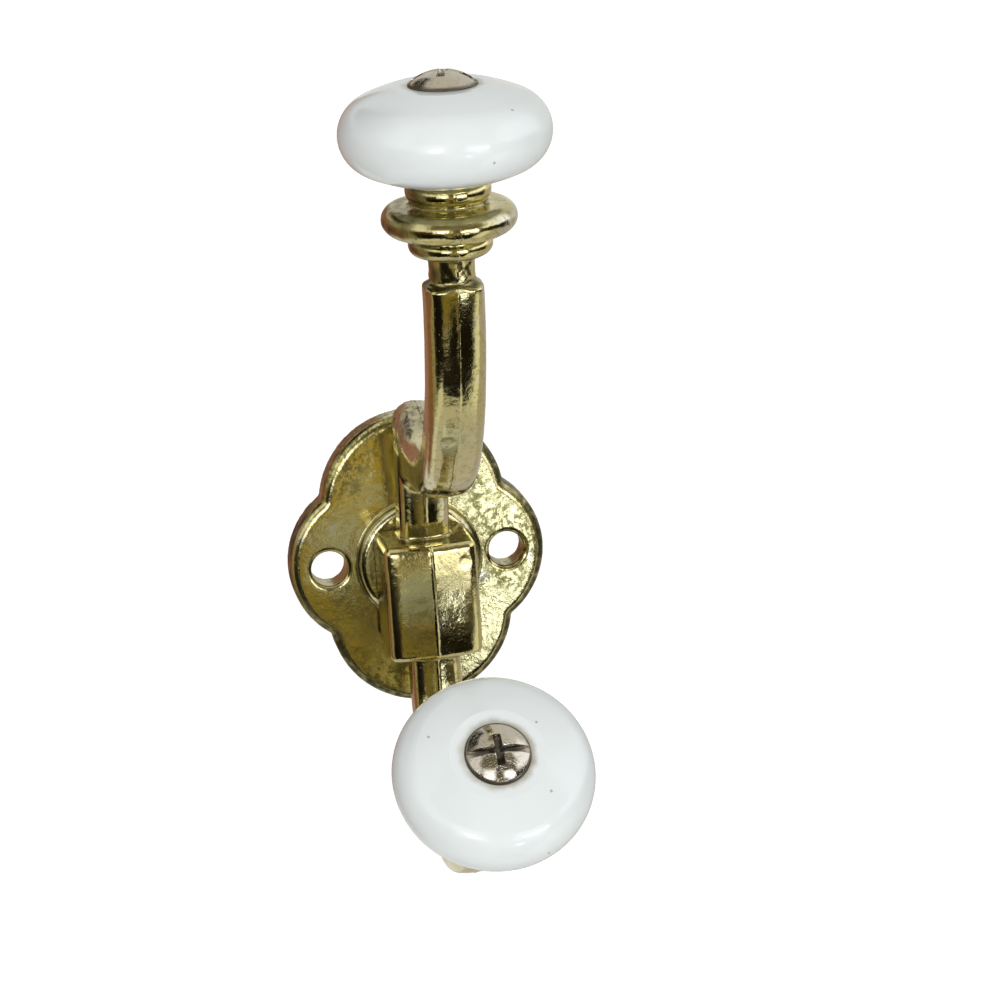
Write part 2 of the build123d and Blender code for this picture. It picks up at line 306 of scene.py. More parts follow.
@dataclass(frozen=True)
class Tarnish:
    """The tarnish of old plating: soft clouds, fine speckle and thin spots."""

    clouds: Grain = Grain(95, 4, 0.6)
    speckle: Grain = Grain(1250, 3, 0.65)
    thin: Grain = Grain(240, 5, 0.62)
    thin_shift: Point = (0.31, 0.17, 0.53)
    even: float = 0.5
    edge: Ends = (0.46, 0.62)

    def make(self) -> bpy.types.NodeTree:
        """Builds the group, with the outputs Clouds, Speckle and Thin."""
        covers = ("Cloud Cover", "Speckle Cover", "Thin Cover")
        names = ["Clouds", "Speckle", "Thin"]
        tree, given, end = new_group("plating_tarnish", dict.fromkeys(covers, self.even), names)
        vector = given["Vector"]
        shifted = tree.add("ShaderNodeVectorMath", {0: vector, 1: self.thin_shift}, operation="ADD")
        places = (vector, vector, shifted.outputs[0])
        grains = (self.clouds, self.speckle, self.thin)
        for name, cover, place, grain in zip(names, covers, places, grains):
            more = tree.math("SUBTRACT", given[cover], self.even)
            value = tree.math("ADD", tree.noise(place, grain), more)
            tree.feed(end, {name: tree.step(value, *self.edge)})
        return tree.tree


@dataclass(frozen=True)
class Smudge:
    """Faint smears and hairline scratches of gloss that has been handled."""

    smears: Grain = Grain(210, 4, 0.55)
    smear_ends: Ends = (0.40, 0.66)
    lines: Grain = Grain(900, 2, 0.5)
    line_middle: float = 0.5
    line_half: float = 0.012

    def make(self) -> bpy.types.NodeTree:
        """Builds the group, with the outputs Smear and Scratch."""
        tree, given, end = new_group("handling_smudge", {"Stretch": 6.0}, ["Smear", "Scratch"])
        vector = given["Vector"]
        smear = tree.step(tree.noise(vector, self.smears), *self.smear_ends)
        across = tree.add("ShaderNodeCombineXYZ", {0: 1.0, 1: given["Stretch"], 2: 1.0}).outputs[0]
        streaked = tree.add("ShaderNodeVectorMath", {0: vector, 1: across}, operation="MULTIPLY")
        lines = tree.noise(streaked.outputs[0], self.lines)
        offset = tree.math("ABSOLUTE", tree.math("SUBTRACT", lines, self.line_middle))
        tree.feed(end, {"Smear": smear, "Scratch": tree.step(offset, self.line_half, 0.0)})
        return tree.tree


@dataclass
class NodeGroups:
    """The shader node groups that the finishes share."""

    cast_skin: bpy.types.NodeTree
    tarnish: bpy.types.NodeTree
    smudge: bpy.types.NodeTree

    @classmethod
    def make(cls) -> "NodeGroups":
        """Builds each group once."""
        return cls(CastSkin().make(), Tarnish().make(), Smudge().make())


def new_material(name: str) -> tuple[bpy.types.Material, Tree, bpy.types.Node]:
    """Starts a material with a Principled shader.

    Args:
        name: Name of the material.

    Returns:
        The material, its tree helper and its shader node.
    """
    material = bpy.data.materials.new(name)
    material.use_nodes = True
    material.node_tree.nodes.clear()
    tree = Tree(material.node_tree)
    shader = tree.add("ShaderNodeBsdfPrincipled")
    tree.add("ShaderNodeOutputMaterial", {"Surface": shader.outputs[0]})
    return material, tree, shader


@dataclass(frozen=True)
class BrassFinish:
    """Worn bright brass plating on a zinc casting."""

    name: str
    gold: Colour = (0.60, 0.535, 0.25)
    pale: Colour = (0.62, 0.595, 0.49)
    olive: Colour = (0.19, 0.175, 0.055)
    zinc: Colour = (0.44, 0.43, 0.39)
    grit: Colour = (0.10, 0.097, 0.08)
    # The darkest colour, for pits, dirt and painted shade.
    soot_and_shade: Colour = (0.042, 0.040, 0.013)
    clouds: float = 0.46
    speckle: float = 0.44
    thin: float = 0.40
    thin_share: float = 0.7
    pit_dark: float = 0.85
    # Weight of the grime mask, which holds painted shade as well as dirt.
    grime_and_shade_dark: float = 0.93
    dull_floor: float = 0.3
    dull_top: float = 0.95
    wear_and_sheen_lift: float = 0.6
    scuffs: Grain = Grain(1050, 4, 0.7)
    scuff_ends: Ends = (0.50, 0.66)
    coarse: Grain = Grain(820, 4, 0.7)
    coarse_ends: Ends = (0.44, 0.60)
    patch_grain: Grain = Grain(1500, 3, 0.6)
    patch_speckle: float = 0.45
    polish: float = 0.085
    dull_rough: float = 0.09
    smear_rough: float = 0.04
    patch_rough: float = 0.42
    dirt_and_shade_rough: float = 0.3
    relief: float = 0.055 * MM

    def make(self, groups: NodeGroups) -> bpy.types.Material:
        """Builds the material.

        Args:
            groups: The shared node groups.

        Returns:
            The finished material.
        """
        material, tree, shader = new_material(self.name)
        where = tree.where()
        worn, bare, grime_and_shade = (tree.mask(name) for name in MASKS)
        tarnish = tree.group(groups.tarnish, where, {
            "Cloud Cover": self.clouds, "Speckle Cover": self.speckle, "Thin Cover": self.thin})
        skin = tree.group(groups.cast_skin, where, {"Peel": 0.2, "Grain": 0.40, "Pit Cover": 0.35})
        smudge = tree.group(groups.smudge, where, {})
        # Wear and painted sheen make the plating paler.
        thin = tree.larger(tree.times(tarnish["Thin"], self.thin_share), worn)
        colour = tree.mix(thin, self.gold, self.pale)
        rise = self.dull_top - self.dull_floor
        clouds = tree.math("MULTIPLY_ADD", tarnish["Clouds"], rise, self.dull_floor)
        # Wear and painted sheen also clear the tarnish.
        wear_and_sheen_clearing = tree.math("SUBTRACT", 1.0, tree.times(worn, self.wear_and_sheen_lift))
        dull = tree.times(tree.times(tarnish["Speckle"], clouds), wear_and_sheen_clearing)
        colour = tree.mix(dull, colour, self.olive)
        scuff = tree.step(tree.noise(where, self.scuffs), *self.scuff_ends)
        colour = tree.mix(tree.times(scuff, worn), colour, self.olive)
        broken = tree.total(1.0 - self.patch_speckle, (tarnish["Speckle"], self.patch_speckle))
        patch = tree.times(bare, broken)
        coarse = tree.step(tree.noise(where, self.coarse), *self.coarse_ends)
        colour = tree.mix(patch, colour, tree.mix(coarse, self.zinc, self.grit))
        # Pits and the grime mask darken the colour; the grime mask holds painted shade as well as dirt.
        dirt_and_shade = tree.larger(tree.times(skin["Pits"], self.pit_dark), tree.times(grime_and_shade, self.grime_and_shade_dark))
        rough = tree.total(
            self.polish, (dull, self.dull_rough), (smudge["Smear"], self.smear_rough),
            (patch, self.patch_rough), (dirt_and_shade, self.dirt_and_shade_rough))
        crust = tree.times(patch, tree.noise(where, self.patch_grain))
        height = tree.math("ADD", skin["Height"], crust)
        tree.feed(shader, {
            "Base Color": tree.mix(dirt_and_shade, colour, self.soot_and_shade), "Metallic": 1.0, "Roughness": rough,
            "Normal": tree.bump(height, 1.0, self.relief)})
        return material


@dataclass(frozen=True)
class PorcelainFinish:
    """Gloss white glaze with specks, and a grey ring of dirt and painted shade round the screw."""

    name: str
    spots: tuple[Point, ...]
    spot_r: float = 0.26 * MM
    glaze: Colour = (0.80, 0.84, 0.83)
    shade: Colour = (0.76, 0.805, 0.80)
    tone: Grain = Grain(130, 2, 0.5)
    dirt_and_shade: Colour = (0.36, 0.325, 0.235)
    ring_ends: Ends = (5.2 * MM, 4.1 * MM)
    ring_edge: Grain = Grain(520, 4, 0.6)
    ring_ragged: float = 1.1 * MM
    ring_lean: float = 45.0
    ring_share: float = 0.78
    speck: Colour = (0.20, 0.19, 0.18)
    speck_scale: float = 210.0
    speck_size: float = 0.075
    speck_odds: float = 0.90
    polish: float = 0.06
    waves: Grain = Grain(170, 2, 0.4)
    wave_height: float = 0.25 * MM

    def make(self, groups: NodeGroups, axis: KnobAxis) -> bpy.types.Material:
        """Builds the material for one knob.

        Args:
            groups: The shared node groups.
            axis: The knob's axis, which the ring of dirt and painted shade is centred on.

        Returns:
            The finished material.
        """
        material, tree, shader = new_material(self.name)
        where = tree.where()
        local, parts, radius = axis.local(tree, where, axis.middle)
        smudge = tree.group(groups.smudge, where, {})
        uneven = tree.math("SUBTRACT", tree.noise(local, self.ring_edge), 0.5)
        ragged = tree.math("ADD", radius, tree.times(uneven, self.ring_ragged))
        lean = tree.total(self.ring_share, (parts[0], self.ring_lean))
        # The ring of dirt and painted shade hugs the screw head, and is darker to the right.
        ring = tree.times(tree.step(ragged, *self.ring_ends), lean)
        distance, odds = tree.cells(where, self.speck_scale)
        dot = tree.math("LESS_THAN", distance, tree.times(odds[1], self.speck_size))
        specks = tree.times(dot, tree.math("GREATER_THAN", odds[0], self.speck_odds))
        for spot in self.spots:
            ends = {0: where, 1: Vector(spot) * MM}
            gap = tree.add("ShaderNodeVectorMath", ends, operation="DISTANCE").outputs["Value"]
            disc = tree.step(gap, self.spot_r, 0.4 * self.spot_r)
            specks = tree.larger(specks, disc)
        colour = tree.mix(tree.noise(local, self.tone), self.glaze, self.shade)
        # The ring's colour is dirt and painted shade.
        colour = tree.mix(ring, colour, self.dirt_and_shade)
        colour = tree.mix(tree.times(specks, 0.6), colour, self.speck)
        rough = tree.total(self.polish, (smudge["Smear"], 0.05), (ring, 0.3))
        waves = tree.bump(tree.noise(local, self.waves), 0.25, self.wave_height)
        tree.feed(shader, {
            "Base Color": colour, "Roughness": rough, "IOR": 1.52, "Normal": waves,
            "Subsurface Weight": 0.12, "Subsurface Radius": (1.0, 1.0, 0.9),
            "Subsurface Scale": 1.2 * MM})
        return material


@dataclass(frozen=True)
class NickelFinish:
    """Dulled nickel plating on a steel screw, with dirt and painted shade at its rim and in its recesses.
    """

    name: str
    nickel: Colour = (0.54, 0.50, 0.42)
    brown: Colour = (0.24, 0.195, 0.125)
    soot_and_shade: Colour = (0.035, 0.028, 0.018)
    dome: float = 6.10 * MM
    crown: float = 7.345 * MM
    recess_ends: Ends = (0.10 * MM, 0.9 * MM)
    rim_ends: Ends = (3.70 * MM, 4.05 * MM)
    polish: float = 0.10
    relief: float = 0.1 * MM

    def make(self, groups: NodeGroups, axis: KnobAxis) -> bpy.types.Material:
        """Builds the material for one screw.

        Args:
            groups: The shared node groups.
            axis: The screw's axis, which is its knob's.

        Returns:
            The finished material.
        """
        material, tree, shader = new_material(self.name)
        where = tree.where()
        local, _, radius = axis.local(tree, where, axis.middle + self.crown - self.dome)
        depth = tree.add("ShaderNodeVectorMath", {0: local}, operation="LENGTH").outputs["Value"]
        recess = tree.step(depth, *(self.dome - end for end in self.recess_ends))
        tarnish = tree.group(groups.tarnish, where, {"Speckle Cover": 0.45, "Thin Cover": 0.4})
        skin = tree.group(groups.cast_skin, where, {"Peel": 0.5, "Grain": 0.4, "Pit Cover": 0.35})
        smudge = tree.group(groups.smudge, where, {"Stretch": 8.0})
        dull = tree.total(0.0, (tarnish["Thin"], 0.35), (tarnish["Speckle"], 0.2))
        colour = tree.mix(dull, self.nickel, self.brown)
        # Dirt and painted shade in the recesses and at the rim, and dark pits.
        dirt_and_shade = tree.larger(tree.times(recess, 0.72), tree.times(skin["Pits"], 0.8))
        dirt_and_shade = tree.larger(dirt_and_shade, tree.times(tree.step(radius, *self.rim_ends), 0.8))
        rough = tree.total(self.polish, (dull, 0.16), (dirt_and_shade, 0.35))
        height = tree.math("ADD", skin["Height"], tree.times(smudge["Scratch"], -0.3))
        tree.feed(shader, {
            "Base Color": tree.mix(dirt_and_shade, colour, self.soot_and_shade), "Metallic": 1.0, "Roughness": rough,
            "Normal": tree.bump(height, 0.3, self.relief)})
        return material


def remeshed(node: Piece, voxel: float) -> bmesh.types.BMesh:
    """Copies a CAD node into an even, slightly smoothed mesh that can be sculpted.

    Args:
        node: The CAD node, which isn't changed.
        voxel: Size of the mesh's cells.

    Returns:
        A new bmesh of the node's surface.
    """
    welded = bmesh.new()
    welded.from_mesh(node.data)
    bmesh.ops.remove_doubles(welded, verts=welded.verts[:], dist=WELD)
    mesh = bpy.data.meshes.new("welded")
    welded.to_mesh(mesh)
    welded.free()
    scratch = bpy.data.objects.new("welded", mesh)
    bpy.context.scene.collection.objects.link(scratch)
    cells = scratch.modifiers.new("cells", "REMESH")
    cells.mode = "VOXEL"
    cells.voxel_size = voxel
    cells.adaptivity = 0.0
    graph = bpy.context.evaluated_depsgraph_get()
    even = bpy.data.meshes.new_from_object(scratch.evaluated_get(graph))
    bpy.data.objects.remove(scratch)
    made = bmesh.new()
    made.from_mesh(even)
    bpy.data.meshes.remove(even)
    bpy.data.meshes.remove(mesh)
    axes = {"use_axis_x": True, "use_axis_y": True, "use_axis_z": True}
    bmesh.ops.smooth_vert(made, verts=made.verts[:], factor=0.5, **axes)
    return made


def sculpt(shape: bmesh.types.BMesh, rule: Callable[[Vector, Vector], Vector]) -> None:
    """Moves each point by a rule, from the point and its normal before any move."""
    shape.normal_update()
    moves = [rule(vert.co, vert.normal) for vert in shape.verts]
    for vert, move in zip(shape.verts, moves):
        vert.co += move


def mesh_object(name: str, shape: bmesh.types.BMesh) -> Piece:
    """Turns a finished bmesh into a smooth object of the scene.

    Args:
        name: Name of the object.
        shape: The bmesh, which is freed.

    Returns:
        The new object, at the origin.
    """
    mesh = bpy.data.meshes.new(name)
    shape.to_mesh(mesh)
    shape.free()
    mesh.polygons.foreach_set("use_smooth", [True] * len(mesh.polygons))
    piece = bpy.data.objects.new(name, mesh)
    bpy.context.scene.collection.objects.link(piece)
    return piece


def patchy(value: float, point: Vector, pattern: Point) -> float:
    """Breaks a mask up by a pattern: the patches' mean, swing and size."""
    mean, swing, size = pattern
    return unit(value * (mean + swing * mottle(point, size)))


class Casting:
    """What both castings share: their rules for wear with painted sheen, bare patches, and grime with
    painted shade are stored as masks.
    """

    def dress(self, piece: Piece, finish: bpy.types.Material) -> None:
        """Stores the masks of wear, painted sheen, bareness, grime and painted shade, and gives the casting
        its finish, which reads them.
        """
        for name in MASKS:
            rule = getattr(self, name)
            values = [rule(v.co, v.normal) for v in piece.data.vertices]
            piece.data.attributes.new(name, "FLOAT", "POINT").data.foreach_set("value", values)
        piece.data.materials.append(finish)


@dataclass
class HookCasting(Casting):
    """The cast hook, with a raised parting ridge and the unevenness of a polished casting."""

    axes: tuple[KnobAxis, KnobAxis]
    voxel: float = 0.29 * MM
    wave: float = 0.05 * MM
    wave_length: float = 4.5 * MM
    ripple: float = 0.012 * MM
    ripple_length: float = 1.1 * MM
    # Where other pieces cover the casting.
    hidden: float = 6.3 * MM
    seat_gap: float = 0.35 * MM
    seat_r: float = 7.0 * MM
    bore: float = 2.7 * MM
    bore_start: float = -8.0 * MM
    bore_l: float = 9.5 * MM
    # The parting ridge, finer on the upper arm.
    ridge_half: float = 0.17 * MM
    ridge_rise: float = 0.10 * MM
    ridge_cuts: tuple[float, ...] = (-1.0, -0.5, 0.0, 0.5, 1.0)
    ridge_snap: float = 0.03 * MM
    ridge_beads: Ends = (0.9 * MM, 4.0 * MM)
    ridge_bead: Point = (0.75, 0.45, 0.08)
    ridge_fine: Ends = (24.0 * MM, 28.0 * MM)
    # Marks of the die's ejector pins, in millimetres.
    pin_marks: tuple[Point, ...] = ((4.6, -16.9, 2.6), (-1.25, -45.6, 27.1))
    pin_r: float = 0.8 * MM
    pin_edge: float = 0.15 * MM
    pin_depth: float = 0.07 * MM
    # The fall of the block's front, and the zone that it fades in over.
    block_half: float = 6.45 * MM
    block_tilt: float = 0.055
    block_round: float = 0.10 * MM
    block_round_from: float = 0.62
    block_edge: float = 0.19 * MM
    block_edge_w: float = 1.8 * MM
    block_rear: Ends = (12.5 * MM, 16.4 * MM)
    block_front: Ends = (19.5 * MM, 18.0 * MM)
    block_top: Ends = (7.0 * MM, 5.0 * MM)
    block_low: Ends = (-12.6 * MM, -10.6 * MM)
    # The coarse skin of the necks and of the shoulder's top.
    neck_l: float = 3.5 * MM
    neck_r: float = 3.4 * MM
    neck_end: float = 0.6 * MM
    neck_pits: float = 0.12 * MM
    neck_grain: float = 0.85 * MM
    shoulder_pits: float = 0.17 * MM
    shoulder_grain: float = 0.70 * MM
    shoulder_up: Ends = (18.0 * MM, 20.5 * MM)
    shoulder_out: Ends = (21.5 * MM, 19.0 * MM)
    bare_patch: Point = (0.8, 0.6, 1.6 * MM)
    # The flare of the arms' ends.
    lip: float = 0.42 * MM
    lip_l: float = 4.5 * MM
    lip_r: Ends = (2.6 * MM, 6.0 * MM)
    # Wear from handling on the saddle; painted sheen on the rings' right rims and on the rising arm's right
    # side and lower front.
    ring: Ends = (6.3 * MM, 9.7 * MM)
    ring_r: float = 8.2 * MM
    rim_zone: Ends = (6.0 * MM, 10.0 * MM)
    rim_ends: Ends = (0.9 * MM, 0.1 * MM)
    saddle_out: Ends = (15.0 * MM, 40.0 * MM)
    saddle_up: Ends = (14.0 * MM, 30.0 * MM)
    arm_out: float = 38.0 * MM
    arm_up: Ends = (14.0 * MM, 48.0 * MM)
    wear_and_sheen_patch: Point = (0.75, 0.5, 2.2 * MM)
    # Dirt and painted shade in the collars' grooves; painted shade on their left sides, on the rings' tops
    # and at the block.
    grooves: tuple[float, ...] = (6.1 * MM, 9.9 * MM, 3.6 * MM, 0.1 * MM)
    collar_low: float = 0.3 * MM
    ring_top_r: float = 5.0 * MM
    corners: Ends = (5.3 * MM, -11.0 * MM)
    grime_and_shade_patch: Point = (0.7, 0.7, 1.3 * MM)

    def covered(self, point: Vector) -> bool:
        """Tells whether a point meets another piece, so that its surface stays as it is."""
        if point.y > -self.hidden:
            return True
        for axis in self.axes:
            length, radius = axis.reach(point)
            if length > axis.seat - self.seat_gap and radius < self.seat_r:
                return True
            if length > self.bore_start and radius < self.bore:
                return length > axis.seat - self.bore_l
        return False

    def ridge(self, point: Vector) -> float:
        """Gives the rise of the parting ridge at a point near the plane X = 0."""
        share = max(0.0, 1.0 - abs(point.x) / self.ridge_half)
        along = Vector((0.0, point.y, point.z))
        mean, swing, least = self.ridge_bead
        beads = mean + swing * sum(mottle(along, size) for size in self.ridge_beads)
        fine = 1.15 - 0.65 * ramp(*self.ridge_fine, point.z)
        return self.ridge_rise * fine * share * max(least, beads)

    def pin_mark(self, point: Vector) -> float:
        """Gives the depth of the round marks that the die's ejector pins left."""
        near = min((point - Vector(m) * MM).length for m in self.pin_marks)
        return self.pin_depth * ramp(self.pin_r + self.pin_edge, self.pin_r - self.pin_edge, near)

    def block_fall(self, point: Vector) -> float:
        """Gives how far the block's front falls back from its parting line to its sides."""
        out, up, side = -point.y, point.z, abs(point.x)
        share = ramp(*self.block_rear, out) * ramp(*self.block_front, out)
        share *= ramp(*self.block_top, up) * ramp(*self.block_low, up)
        fall = self.block_tilt * side
        rounded = ramp(self.block_round_from * self.block_half, self.block_half, side)
        fall += self.block_round * rounded
        past = max(0.0, side - self.block_half + self.block_edge_w)
        fall += self.block_edge * (past / self.block_edge_w) ** 2
        return fall * share

    def rough(self, point: Vector, normal: Vector) -> float:
        """Gives the coarse skin of the necks and of the shoulder's top."""
        lift = self.shoulder_pits * self.bare(point, normal) * mottle(point, self.shoulder_grain)
        for axis in self.axes:
            length, radius = axis.reach(point)
            if 0.0 < length < self.neck_l and radius < self.neck_r:
                ends = ramp(0.0, self.neck_end, length)
                ends *= ramp(self.neck_l, self.neck_l - self.neck_end, length)
                lift += self.neck_pits * ends * mottle(point, self.neck_grain)
        return lift

    def arm_lip(self, point: Vector, normal: Vector) -> float:
        """Gives the flare of an arm towards its end, where the polish stopped short."""
        for axis in self.axes:
            length, radius = axis.reach(point)
            if -self.lip_l < length < 0.0 and within(radius, self.lip_r):
                side = ramp(0.75, 0.4, abs(normal.dot(axis.way)))
                side *= ramp(0.5, 0.85, -normal.y)
                return self.lip * side * (1.0 + length / self.lip_l) ** 2
        return 0.0

    def move(self, point: Vector, normal: Vector) -> Vector:
        """Gives how far a point of the casting moves off the CAD surface."""
        if self.covered(point):
            return Vector()
        lift = self.wave * mottle(point, self.wave_length) - self.pin_mark(point)
        lift += self.ripple * mottle(point, self.ripple_length)
        lift += self.rough(point, normal) + self.arm_lip(point, normal)
        if abs(point.x) < self.ridge_half and abs(normal.x) < 0.6:
            lift += self.ridge(point)
        return normal * lift + Vector((0.0, self.block_fall(point), 0.0))

    def build(self, node: Piece) -> Piece:
        """Sculpts the casting from its CAD node.

        Args:
            node: The CAD node of the hook.

        Returns:
            The finished piece.
        """
        shape = remeshed(node, self.voxel)
        for share in self.ridge_cuts:
            geometry = shape.verts[:] + shape.edges[:] + shape.faces[:]
            plane = {"plane_co": (share * self.ridge_half, 0.0, 0.0), "plane_no": (1.0, 0.0, 0.0)}
            bmesh.ops.bisect_plane(shape, geom=geometry, dist=self.ridge_snap, **plane)
        bmesh.ops.triangulate(shape, faces=[f for f in shape.faces if len(f.verts) > 4])
        sculpt(shape, self.move)
        piece = mesh_object("hook_casting", shape)
        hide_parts(Cast.HOOK.value)
        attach(piece, "root")
        return piece

    def worn(self, point: Vector, normal: Vector) -> float:
        """Gives the wear from handling on the saddle, and the painted sheen on the rings' right rims and on
        the rising arm's right side and lower front.
        """
        value = 0.0
        for axis in self.axes:
            length, radius = axis.reach(point)
            # Painted sheen on the right part of each ring's rim.
            if within(length, self.rim_zone):
                rim = ramp(*(self.ring_r - end for end in self.rim_ends), radius)
                value = max(value, 0.9 * rim * ramp(3.0 * MM, 5.5 * MM, point.x))
        out, up = -point.y, point.z
        if within(out, self.saddle_out) and within(up, self.saddle_up):
            value = max(value, 0.45 * ramp(0.0, 0.5, abs(normal.z)))
        # Painted sheen on the rising arm: its lower front and its right side.
        if out > self.arm_out and within(up, self.arm_up):
            low = 0.3 * ramp(34.0 * MM, 26.0 * MM, up)
            value = max(value, low, 0.6 * ramp(0.55, 0.9, normal.x))
        return patchy(value, point, self.wear_and_sheen_patch)

    def bare(self, point: Vector, normal: Vector) -> float:
        """Gives the rough grey patch where the shoulder's top has lost its plating."""
        top = ramp(*self.shoulder_up, point.z) * ramp(*self.shoulder_out, -point.y)
        return patchy(top * ramp(-0.45, 0.15, normal.z), point, self.bare_patch)

    def grime_and_shade(self, point: Vector, normal: Vector) -> float:
        """Gives dirt and painted shade in the collars' grooves, and painted shade on the collars' left
        sides, on the tops of the rings, in the block's corners and at its foot.
        """
        value = 0.0
        for axis in self.axes:
            length, radius = axis.reach(point)
            # Dirt and painted shade darken the grooves between the collars' rings and beads.
            for groove in self.grooves:
                near = ramp(0.75 * MM, 0.15 * MM, abs(length - groove))
                value = max(value, near * ramp(5.2 * MM, 4.5 * MM, radius))
            # Painted shade on the left side of each collar.
            if self.collar_low < length < axis.seat:
                left = ramp(-0.45, -0.85, point.x / max(radius, MM))
                value = max(value, 0.75 * left)
            # Painted shade on the tops of the rings.
            if within(length, self.ring) and radius > self.ring_top_r:
                top = ramp(0.1, 0.6, normal.dot(axis.way))
                value = max(value, 0.36 * top)
        out, up = -point.y, point.z
        # Painted shade in the corners where the stems meet the block.
        inside = ramp(4.2 * MM, 3.4 * MM, abs(point.x)) * ramp(15.8 * MM, 15.0 * MM, out)
        for corner in self.corners:
            near = ramp(0.9 * MM, 0.2 * MM, abs(up - corner))
            value = max(value, 0.8 * near * inside)
        # Painted shade at the foot of the hook, next to the plate.
        foot = ramp(7.1 * MM, 6.0 * MM, out) * ramp(24.0 * MM, 22.0 * MM, abs(up))
        return patchy(max(value, foot), point, self.grime_and_shade_patch)


@dataclass
class BackPlate(Casting):
    """The quatrefoil plate, slightly domed and wavy, with dirt and painted shade at its boss, rim and
    walls.
    """

    voxel: float = 0.21 * MM
    wave: float = 0.06 * MM
    wave_length: float = 6.0 * MM
    ripple: float = 0.010 * MM
    ripple_length: float = 1.1 * MM
    boss_r: float = 8.7 * MM
    boss_fade: float = 2.0 * MM
    boss_flat: float = 5.65 * MM
    tenon_r: float = 4.8 * MM
    back: float = 0.6 * MM
    front: float = 4.0 * MM
    half_width: float = 18.2 * MM
    dome: float = 0.34 * MM
    # The pale rub on the boss and the dull back.
    rub_w: float = 0.8 * MM
    rub_inset: float = 0.5 * MM
    rub_patch: Point = (0.6, 0.7, 2.6 * MM)
    # Dirt and painted shade at the boss's foot, painted shade on the rim at the bottom and right, and dirt
    # and painted shade on the walls and in the holes.
    rim_patch: Point = (0.6, 0.6, 0.8 * MM)
    hole_x: float = 12.7 * MM
    grime_and_shade_patch: Point = (0.6, 0.8, 1.7 * MM)

    def dome_fall(self, point: Vector) -> float:
        """Gives how far the plate's front falls back from its middle to its left and right ends."""
        share = ramp(self.back, self.front, -point.y)
        share *= ramp(self.boss_r, self.boss_r + self.boss_fade, math.hypot(point.x, point.z))
        return self.dome * share * (point.x / self.half_width) ** 2

    def move(self, point: Vector, normal: Vector) -> Vector:
        """Gives how far a point of the plate moves off the CAD surface."""
        inner = math.hypot(point.x, point.z) < self.tenon_r
        if inner or not within(-point.y, (self.back, self.boss_flat)):
            return Vector()
        lift = self.wave * mottle(point, self.wave_length) + self.ripple * mottle(point, self.ripple_length)
        return normal * lift + Vector((0.0, self.dome_fall(point), 0.0))

    def build(self, node: Piece) -> Piece:
        """Sculpts the plate from its CAD node."""
        shape = remeshed(node, self.voxel)
        sculpt(shape, self.move)
        piece = mesh_object("back_plate_casting", shape)
        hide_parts(Cast.PLATE.value)
        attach(piece, "root")
        return piece

    def worn(self, point: Vector, normal: Vector) -> float:
        """Gives the pale rub on the plate's boss."""
        edge = abs(math.hypot(point.x, point.z) - self.boss_r + self.rub_inset)
        boss = ramp(self.rub_w, 0.0, edge) * ramp(-4.6 * MM, -5.2 * MM, point.y)
        return patchy(0.6 * boss, point, self.rub_patch)

    def bare(self, point: Vector, normal: Vector) -> float:
        """Gives the dull back, where the plating is thin."""
        return 0.6 * ramp(0.5, 0.9, normal.y)

    def grime_and_shade(self, point: Vector, normal: Vector) -> float:
        """Gives the dirt and painted shade at the boss's foot, on the rim, on the walls and in the holes.
        """
        radius = math.hypot(point.x, point.z)
        right, up = point.x / max(radius, MM), point.z / max(radius, MM)
        mean, swing, size = self.grime_and_shade_patch
        patch = mean + swing * mottle(point, size)
        # Dirt and painted shade at the boss's foot.
        foot = ramp(0.7 * MM, 0.1 * MM, abs(radius - self.boss_r))
        foot *= ramp(-5.3 * MM, -4.6 * MM, point.y) * ramp(-4.0 * MM, -4.3 * MM, point.y)
        # Painted shade on the rim at the bottom and right.
        rim = ramp(-0.988, -0.92, normal.y) * ramp(12.0 * MM, 14.0 * MM, radius)
        rim *= max(ramp(0.2, -0.6, up), ramp(0.1, 0.7, right))
        mean, swing, size = self.rim_patch
        rim *= mean + swing * mottle(point, size) + 0.5 * patch
        # Painted shade on the side walls, lighter towards the top.
        wall = ramp(0.55, 0.25, abs(normal.y)) * (0.9 - 0.6 * ramp(0.3, 0.7, up))
        # Dirt and painted shade in the holes.
        hole = ramp(3.4 * MM, 3.0 * MM, math.hypot(abs(point.x) - self.hole_x, point.z))
        outer = max(rim, wall * (0.5 + patch)) * (1.0 - hole)
        return unit(max(0.7 * foot * patch, outer, 0.4 * wall * hole))


